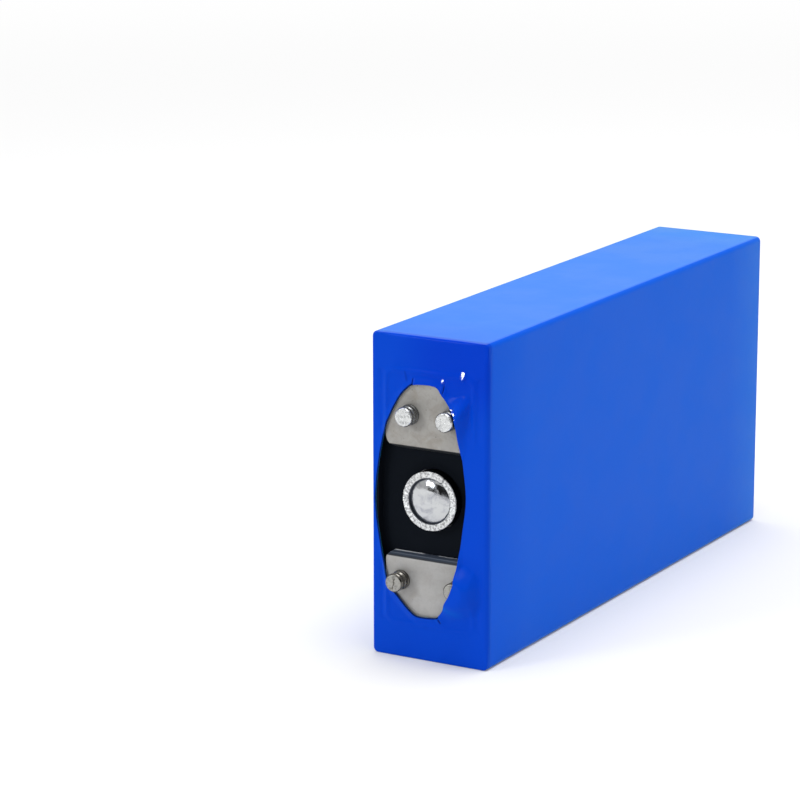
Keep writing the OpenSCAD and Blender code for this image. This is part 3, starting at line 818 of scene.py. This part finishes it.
def film_height(x, z, away, lift):
    """How far the front film stands off the cap: lifted edge, drape, ridge, pimples, puckers and facets."""
    height = lift * smooth(1 - away / (LIFT_REACH + LIFT_GROWTH * np.abs(lift)))
    height = drape_over(x, z, height)
    over_plate = smooth((np.abs(z) - OVER_PLATE_FROM) / OVER_PLATE_FADE)
    ridge = RIDGE_RISE * bell(box_distance(x, z, *PLATE_RIDGE), RIDGE_W)
    groove = GROOVE_DEPTH * bell(np.abs(x) - GROOVE_ACROSS, GROOVE_W) * (np.abs(z) < GROOVE_END)
    height = height + (ridge - groove) * over_plate
    for at_x, at_z, width, tall, stretch in PIMPLES:
        height = height + tall * bell(x - at_x, width) * bell(z - at_z, width * stretch)
    for start, end, tall in PUCKERS:
        share, off = along_segment(x, z, start, end)
        height = height + tall * (1 - PUCKER_FADE * share) * (bell(off, LIP_W) - bell(off, CREASE_W))
    for at_x, at_z, half_w, half_h, rise in FACETS:
        reach = np.hypot((x - at_x) / half_w, (z - at_z) / half_h)
        plane = rise - FACET_LEAN * (z - at_z)
        height = height + (plane - height) * smooth((FACET_EDGE - reach) / FACET_FADE)
    return height


def front_edge_radii(spots, ways):
    """Radius of the film's front edge at each point of its outline, least at the corners."""
    sides = np.where(ways[:, 0] > 0.5, RIGHT_EDGE_R, np.where(ways[:, 1] > 0.5, TOP_EDGE_R, LEAST_EDGE_R))
    on_side = np.abs(ways[:, 0]) > 0.5
    along = np.where(on_side, FILM_H / 2 - np.abs(spots[:, 1]), FILM_W / 2 - np.abs(spots[:, 0]))
    return LEAST_EDGE_R + (sides - LEAST_EDGE_R) * smooth((along - LONG_EDGE_R) / EDGE_GROWTH)


def front_rings(spots, ways, end_r):
    """Rings from the front opening out to the front edge, and round that edge."""
    rings = []
    inset = spots - ways * end_r[:, None]
    edge = curve_at(closed_curve(OPENING, 24), OPENING_CENTRE, inset)
    run = np.linalg.norm(inset - edge[:, :2], axis=1)
    for t in (np.arange(FRONT_RINGS + 1) / FRONT_RINGS) ** RING_CROWDING:
        flat = edge[:, :2] + (inset - edge[:, :2]) * t
        height = film_height(flat[:, 0], flat[:, 1], run * t, edge[:, 2])
        height = height * smooth(run * (1 - t) / FLAT_STRIP)
        rings.append(np.column_stack([flat, -height]))
    for turn in np.radians(90 * np.arange(1, EDGE_RINGS + 1) / EDGE_RINGS):
        flat = spots - ways * (end_r * (1 - math.sin(turn)))[:, None]
        rings.append(np.column_stack([flat, end_r * (1 - math.cos(turn))]))
    return rings


def side_rings(spots, ways, end_r):
    """Rings along the sides, which hang a little slack, and round the back edge."""
    rings = []
    for t in np.arange(1, LENGTH_RINGS) / LENGTH_RINGS:
        depth = end_r + (FILM_L - LEAST_EDGE_R - end_r) * t
        slack = [SLACK + SLACK * grain(x, d, z, SLACK_WAVE) for (x, z), d in zip(spots, depth)]
        rings.append(np.column_stack([spots - ways * np.array(slack)[:, None], depth]))
    for turn in np.radians(90 * np.arange(EDGE_RINGS + 1) / EDGE_RINGS):
        flat = spots - ways * LEAST_EDGE_R * (1 - math.cos(turn))
        depth = np.full(len(spots), FILM_L - LEAST_EDGE_R * (1 - math.sin(turn)))
        rings.append(np.column_stack([flat, depth]))
    return rings


def back_rings(start):
    """Rings over the base from its edge in to the oval opening, sunk beside the patch and folded."""
    rings = []
    angles = np.arctan2(start[:, 1] / BASE_OPENING[1], start[:, 0] / BASE_OPENING[0])
    round_way = np.column_stack([np.cos(angles), np.sin(angles)])
    pull = np.array([1 + OVAL_UNEVEN * grain(3 * x, 3 * z, 7, 1.0) for x, z in round_way])
    gather = np.array([grain(6 * x, 6 * z, 3, 1.0) for x, z in round_way])
    oval = round_way * BASE_OPENING * pull[:, None]
    run = np.linalg.norm(start - oval, axis=1)
    for t in np.arange(1, BACK_RINGS + 1) / BACK_RINGS:
        flat = start + (oval - start) * t
        off_patch = box_distance(*flat.T, *PATCH_RAISED)
        sag = BACK_SAG * smooth(np.minimum(run * t / EDGE_FADE, off_patch / PATCH_FADE))
        fold = BACK_FOLD * np.abs(gather) * smooth((run * t - FOLD_FROM) / FOLD_FADE)
        rings.append(np.column_stack([flat, FILM_L - sag - fold]))
    return rings


def film_rings():
    """Rings of points (across, up, depth) from the front opening, along the cell, to the base opening."""
    spots, ways = film_outline()
    end_r = front_edge_radii(spots, ways)
    rings = front_rings(spots, ways, end_r) + side_rings(spots, ways, end_r)
    return rings + back_rings(rings[-1][:, :2])


def make_film():
    rings = film_rings()
    count = len(rings[0])
    shape = bmesh.new()
    bmesh.ops.create_grid(shape, x_segments=count, y_segments=len(rings) - 1, size=1.0)
    for i, point in enumerate(shape.verts):
        row, column = divmod(i, count + 1)
        point.co = spot(*rings[row][column % count])
    bmesh.ops.remove_doubles(shape, verts=shape.verts, dist=0.0002 * MM)
    bmesh.ops.recalc_face_normals(shape, faces=shape.faces)
    piece = place_piece("film_sleeve", shape, "blue_film", "shrink_film", sharp=60)
    wall = piece.modifiers.new("film wall", "SOLIDIFY")
    wall.thickness = FILM_T * MM
    wall.offset = -1


# Vent: welded ring and domed disc

# Round of the ring's corners, and the size of its mesh
RING_ROUND = 0.22
RING_STEPS = 296
RING_MESH = 0.16
# Depth of the weld from the ring's front, and how softly it ends
WELD_DEPTH = 1.0
WELD_FADE = 0.8
# Beads of the weld: number, height, and how far they wander
WELD_BEADS = 74
BEAD_RISE = 0.045
BEAD_WANDER = 2.1
# Two grains of roughness, as height and size, and one notch, as depth, angle and half angle
WELD_ROUGH = [(0.03, 0.34), (0.07, 0.8)]
NOTCH = (0.25, 0.98, 0.035)
# Play of the disc in its seat, width of its flange, how far its rest reaches in, and the slope from there
DISC_PLAY = 0.05
FLANGE_W = 0.07
REST_W = 0.5
UNDER_GAP = 0.05
DISC_ROUND = 0.04
DISC_STEPS = 144
DISC_MESH = 0.3
# Rise of the dome, the power of the radius by which it falls away, and the steps of its profile
DOME_RISE = 0.95
DOME_POWER = 2.7
DOME_STEPS = 14
# The dome's crown stands off centre: by how much it tips the dome, and which way
DOME_TIP = 0.5
DOME_TIP_ANGLE = 0.6
# Faint waves in the dome, as height and size, and a pressed arc low on it: height, radius, half width
DOME_WAVE = (0.03, 2.6)
DOME_ARC = (0.035, 3.6, 0.12)
ARC_BELOW = 1.6


def make_ring():
    across, up = centre_of("vent_ring")
    profile = [(SEAT_R, RING_FRONT), (RING_R, RING_FRONT), (RING_R, LID_FRONT), (SEAT_R, LID_FRONT),
               (SEAT_R, LID_BACK), (SEAT_R - LEDGE_W, LID_BACK), (SEAT_R - LEDGE_W, LEDGE_DEPTH),
               (SEAT_R, LEDGE_DEPTH)]
    shape = turned(profile, across, up, RING_STEPS, RING_ROUND, RING_MESH, closed=True)
    notch_depth, notch_angle, notch_half = NOTCH

    def push(radius, angle, depth, x, z):
        near = smooth((RING_FRONT + WELD_DEPTH - depth) / WELD_FADE)
        bead = BEAD_RISE * math.cos(WELD_BEADS * angle + BEAD_WANDER * grain(x, 0, z, 2.5))
        rough = sum(rise * grain(x, depth, z, size) for rise, size in WELD_ROUGH)
        notch = notch_depth * bell(angle - notch_angle, notch_half)
        return float(near * (bead + rough - notch))

    move_along_normals(shape, across, up, push)
    place_piece("weld_ring", shape, "vent_aluminium", "vent_ring", sharp=50)


def make_disc():
    across, up = centre_of("burst_disc")
    flange_r = SEAT_R - DISC_PLAY
    foot_r = flange_r - FLANGE_W
    rest_r = foot_r - REST_W
    shares = [i / DOME_STEPS for i in range(DOME_STEPS + 1)]
    dome = [(foot_r * t, DISC_FRONT - DOME_RISE * (1 - t ** DOME_POWER)) for t in shares]
    under = [(radius, depth + DISC_T) for radius, depth in dome[::-1] if radius < rest_r - UNDER_GAP]
    profile = dome + [(flange_r, DISC_FRONT), (flange_r, LEDGE_DEPTH), (rest_r, LEDGE_DEPTH)] + under
    shape = turned(profile, across, up, DISC_STEPS, DISC_ROUND, DISC_MESH)
    arc_rise, arc_r, arc_half = DOME_ARC

    def push(radius, angle, depth, x, z):
        if depth > DISC_FRONT + 0.02 and radius > foot_r:
            return 0.0
        wave = DOME_WAVE[0] * grain(x, 0, z, DOME_WAVE[1])
        arc = arc_rise * bell(radius - arc_r, arc_half) * smooth(-z - ARC_BELOW)
        toward = (x * math.cos(DOME_TIP_ANGLE) + z * math.sin(DOME_TIP_ANGLE)) / foot_r
        tip = DOME_TIP * toward * max(1 - (radius / foot_r) ** 2, 0)
        return float(wave + arc + (tip if depth < DISC_FRONT else 0.0))

    move_along_normals(shape, across, up, push)
    place_piece("dome_disc", shape, "disc_aluminium", "burst_disc", sharp=40)


# Terminal plates and posts

# Edges of a plate that turn by more than this angle are rounded, by this radius
RIM_ANGLE = 40
RIM_ROUND = 0.1


def make_plate(name, node):
    """The CAD plate with its stamped edges rounded."""
    shape = bmesh.new()
    shape.from_mesh(frame["nodes"][node].data)
    bmesh.ops.remove_doubles(shape, verts=shape.verts, dist=0.001 * MM)
    bmesh.ops.dissolve_limit(shape, angle_limit=math.radians(2), verts=shape.verts, edges=shape.edges)
    joined = [edge for edge in shape.edges if edge.is_manifold]
    rims = [edge for edge in joined if edge.calc_face_angle() > math.radians(RIM_ANGLE)]
    bmesh.ops.bevel(shape, geom=rims, offset=RIM_ROUND * MM, offset_type="OFFSET", affect="EDGES", segments=3,
                    profile=0.5, material=-1, clamp_overlap=True)
    place_piece(name, shape, "nickel", node)


PLATE_FRONT = depths("positive_terminal_plate")[0]
# Collar of a post on its plate, its shank through the cap, and its head inside
COLLAR_W = 0.15
COLLAR_H = 0.5
COLLAR_SLOPE = 0.05
COLLAR_FRONT = PLATE_FRONT - COLLAR_H
SHANK_STEP = 0.25
HEAD_T = 0.8
POST_R = {"positive": 2.05, "negative": 1.95}
# Turned side of a post, from its end back: step out from its radius, and distance behind the end
POST_STEPS = {
    "positive": [(-0.22, 0), (0.04, 0.34), (0.04, 0.85), (-0.16, 1.0), (-0.16, 1.3), (0.06, 1.62)],
    "negative": [(-0.26, 0), (0.02, 0.22), (0.02, 0.38), (-0.14, 0.48), (-0.14, 0.56), (0.03, 0.8),
                 (0.03, 1.25), (-0.22, 1.42), (-0.22, 1.85), (0.05, 2.22)],
}
POST_ROUND = 0.05
POST_TURN = 96
POST_MESH = 0.14
# Roughness of a pale post and of a plated one, as height and size
PALE_ROUGH = [(0.05, 0.45), (0.03, 0.2)]
PLATED_ROUGH = (0.008, 0.4)
# Depth and width of the scored line, and of the ring turned in a plated post's end, with its radius
SCORE_DEPTH = 0.1
SCORE_W = 0.1
END_RING = (0.03, 1.45, 0.07)


def score_distance(x, z):
    """Distance from the line scored across a plated post's end."""
    return min(along_segment(x, z, *pair)[1] for pair in zip(SCORE, SCORE[1:]))


def make_post(pole, side, slot):
    node = f"{pole}_post_{side}"
    across, up = centre_of(node)
    end, back = depths(node)
    radius = POST_R[pole]
    collar_r = radius + COLLAR_W
    shank_r = radius - SHANK_STEP
    head_r = radius_of(node)
    profile = [(0, end)]
    profile += [(radius + step, end + back_by) for step, back_by in POST_STEPS[pole]]
    profile += [(profile[-1][0], COLLAR_FRONT - COLLAR_SLOPE), (collar_r, COLLAR_FRONT),
                (collar_r, PLATE_FRONT), (shank_r, PLATE_FRONT), (shank_r, back - HEAD_T),
                (head_r, back - HEAD_T), (head_r, back), (0, back)]
    shape = turned(profile, across, up, POST_TURN, POST_ROUND, POST_MESH)
    ring_depth, ring_r, ring_half = END_RING

    def pale_push(r, angle, depth, x, z):
        outside = smooth((COLLAR_FRONT - depth) / 0.4)
        rough = sum(rise * grain(x + across, depth, z + up, size) for rise, size in PALE_ROUGH)
        return float(outside * rough)

    def plated_push(r, angle, depth, x, z):
        outside = smooth((COLLAR_FRONT - depth) / 0.4)
        rough = PLATED_ROUGH[0] * grain(x, depth, z, PLATED_ROUGH[1])
        on_end = smooth((end + 0.1 - depth) / 0.08)
        cut = SCORE_DEPTH * bell(score_distance(x, z), SCORE_W) + ring_depth * bell(r - ring_r, ring_half)
        return float(outside * rough - on_end * cut)

    move_along_normals(shape, across, up, pale_push if pole == "positive" else plated_push)
    place_piece(f"{pole}_stud_{side}", shape, slot, node, sharp=40)


# Studio

# Half size of the floor, its paper's shade, and how its glow grows: from and to a distance, and a share
FLOOR_HALF = 20
PAPER = (0.78, 0.78, 0.78, 1)
GLOW_REACH = (0.35, 1.2)
GLOW_SHARE = (0.1, 1.0)
# Tent, as azimuth and elevation in degrees: the opening, a bright streak in it, and the duller right side
GAP = ((-34, 60), (-5, 36))
GAP_DARKNESS = (0.2, 0.97)
STREAK = ((-12, -8), (4, 16))
RIGHT_SIDE = (65, 150)
RIGHT_SHARE = 0.76
# Strength of the tent, from low on its walls to overhead, between two elevations
TENT_STRENGTH = (0.62, 1.3)
TENT_ELEVATION = (30, 80)


def make_floor():
    shape = bmesh.new()
    bmesh.ops.create_grid(shape, x_segments=1, y_segments=1, size=FLOOR_HALF)
    mesh = bpy.data.meshes.new("studio_floor")
    shape.to_mesh(mesh)
    shape.free()
    material = bpy.data.materials.new("studio_floor")
    material.use_nodes = True
    tree = material.node_tree
    tree.nodes.remove(tree.nodes["Principled BSDF"])
    paper = add(tree, "BsdfDiffuse", {"Color": PAPER}).outputs["BSDF"]
    glow = add(tree, "Emission", {"Color": (1, 1, 1, 1), "Strength": 1.0}).outputs["Emission"]
    rays = add(tree, "LightPath").outputs
    seen = strongest(tree, [rays[f"Is {kind} Ray"] for kind in ("Camera", "Glossy", "Transmission")])
    reach = add(tree, "VectorMath", {0: object_place(tree)}, operation="LENGTH").outputs["Value"]
    share = times(tree, seen, ranged(tree, reach, *GLOW_REACH, *GLOW_SHARE))
    mixed = add(tree, "MixShader", {0: share, 1: paper, 2: glow})
    tree.links.new(mixed.outputs["Shader"], tree.nodes["Material Output"].inputs["Surface"])
    mesh.materials.append(material)
    floor = bpy.data.objects.new("studio_floor", mesh)
    bpy.context.scene.collection.objects.link(floor)


def window_mask(tree, value, low, high, soft):
    """1 between two values and 0 outside them, with soft edges."""
    rise = ranged(tree, value, low - soft, low + soft)
    fall = ranged(tree, value, high - soft, high + soft, 1.0, 0.0)
    return times(tree, rise, fall)


def make_tent():
    """White light tent, brighter overhead, with the dark opening that the camera looks through."""
    world = bpy.data.worlds.new("light_tent")
    bpy.context.scene.world = world
    world.use_nodes = True
    tree = world.node_tree
    way = axes(tree, add(tree, "TexCoord").outputs["Generated"])
    to_front = times(tree, way["Y"], -1.0)
    azimuth = reckon(tree, "DEGREES", reckon(tree, "ARCTAN2", way["X"], to_front))
    elevation = reckon(tree, "DEGREES", reckon(tree, "ARCSINE", way["Z"]))
    rays = add(tree, "LightPath").outputs
    gap = times(tree, window_mask(tree, azimuth, *GAP[0], 2), window_mask(tree, elevation, *GAP[1], 2))
    gap = times(tree, gap, ranged(tree, rays["Is Glossy Ray"], 0.0, 1.0, *GAP_DARKNESS))
    streak = times(tree, window_mask(tree, azimuth, *STREAK[0], 1),
                   window_mask(tree, elevation, *STREAK[1], 1))
    wall = ranged(tree, elevation, *TENT_ELEVATION, *TENT_STRENGTH)
    right = ranged(tree, window_mask(tree, azimuth, *RIGHT_SIDE, 10), 0.0, 1.0, 1.0, RIGHT_SHARE)
    tent = times(tree, times(tree, wall, reckon(tree, "SUBTRACT", 1.0, gap)), right)
    tent = reckon(tree, "ADD", tent, streak)
    plain = reckon(tree, "MAXIMUM", rays["Is Camera Ray"], rays["Is Transmission Ray"])
    strength = blend_value(tree, plain, tent, 1.0)
    tree.links.new(strength, tree.nodes["Background"].inputs["Strength"])
    tree.nodes["Background"].inputs["Color"].default_value = (1, 1, 1, 1)


def make_lamp(name, place, aim, size, watts, tint):
    light = bpy.data.lights.new(name, "AREA")
    light.size = size
    light.energy = watts
    light.color = tint
    lamp = bpy.data.objects.new(name, light)
    lamp.location = place
    lamp.rotation_euler = (Vector(aim) - Vector(place)).to_track_quat("-Z", "Y").to_euler()
    bpy.context.scene.collection.objects.link(lamp)


make_camera()
make_film()
make_ring()
make_disc()
make_plate("upper_plate", "positive_terminal_plate")
make_plate("lower_plate", "negative_terminal_plate")
for side in ("left", "right"):
    make_post("positive", side, "post_aluminium")
    make_post("negative", side, "post_plated")
for part in frame["record"]["subparts"]:
    cad = frame["nodes"][part["node"]]
    for held in cad.material_slots:
        held.material = FINISHES[part["material_slot"]]

make_floor()
make_tent()
make_lamp("overhead_softbox", (0.15, 0.1, 1.3), (0, 0, 0.05), 0.9, 12.5, (1, 1, 1))
make_lamp("front_softbox", (-0.50, -0.86, 0.46), (0, -0.06, 0.04), 0.25, 2.8, (0.95, 0.98, 1))
bpy.context.scene.view_settings.view_transform = "Standard"
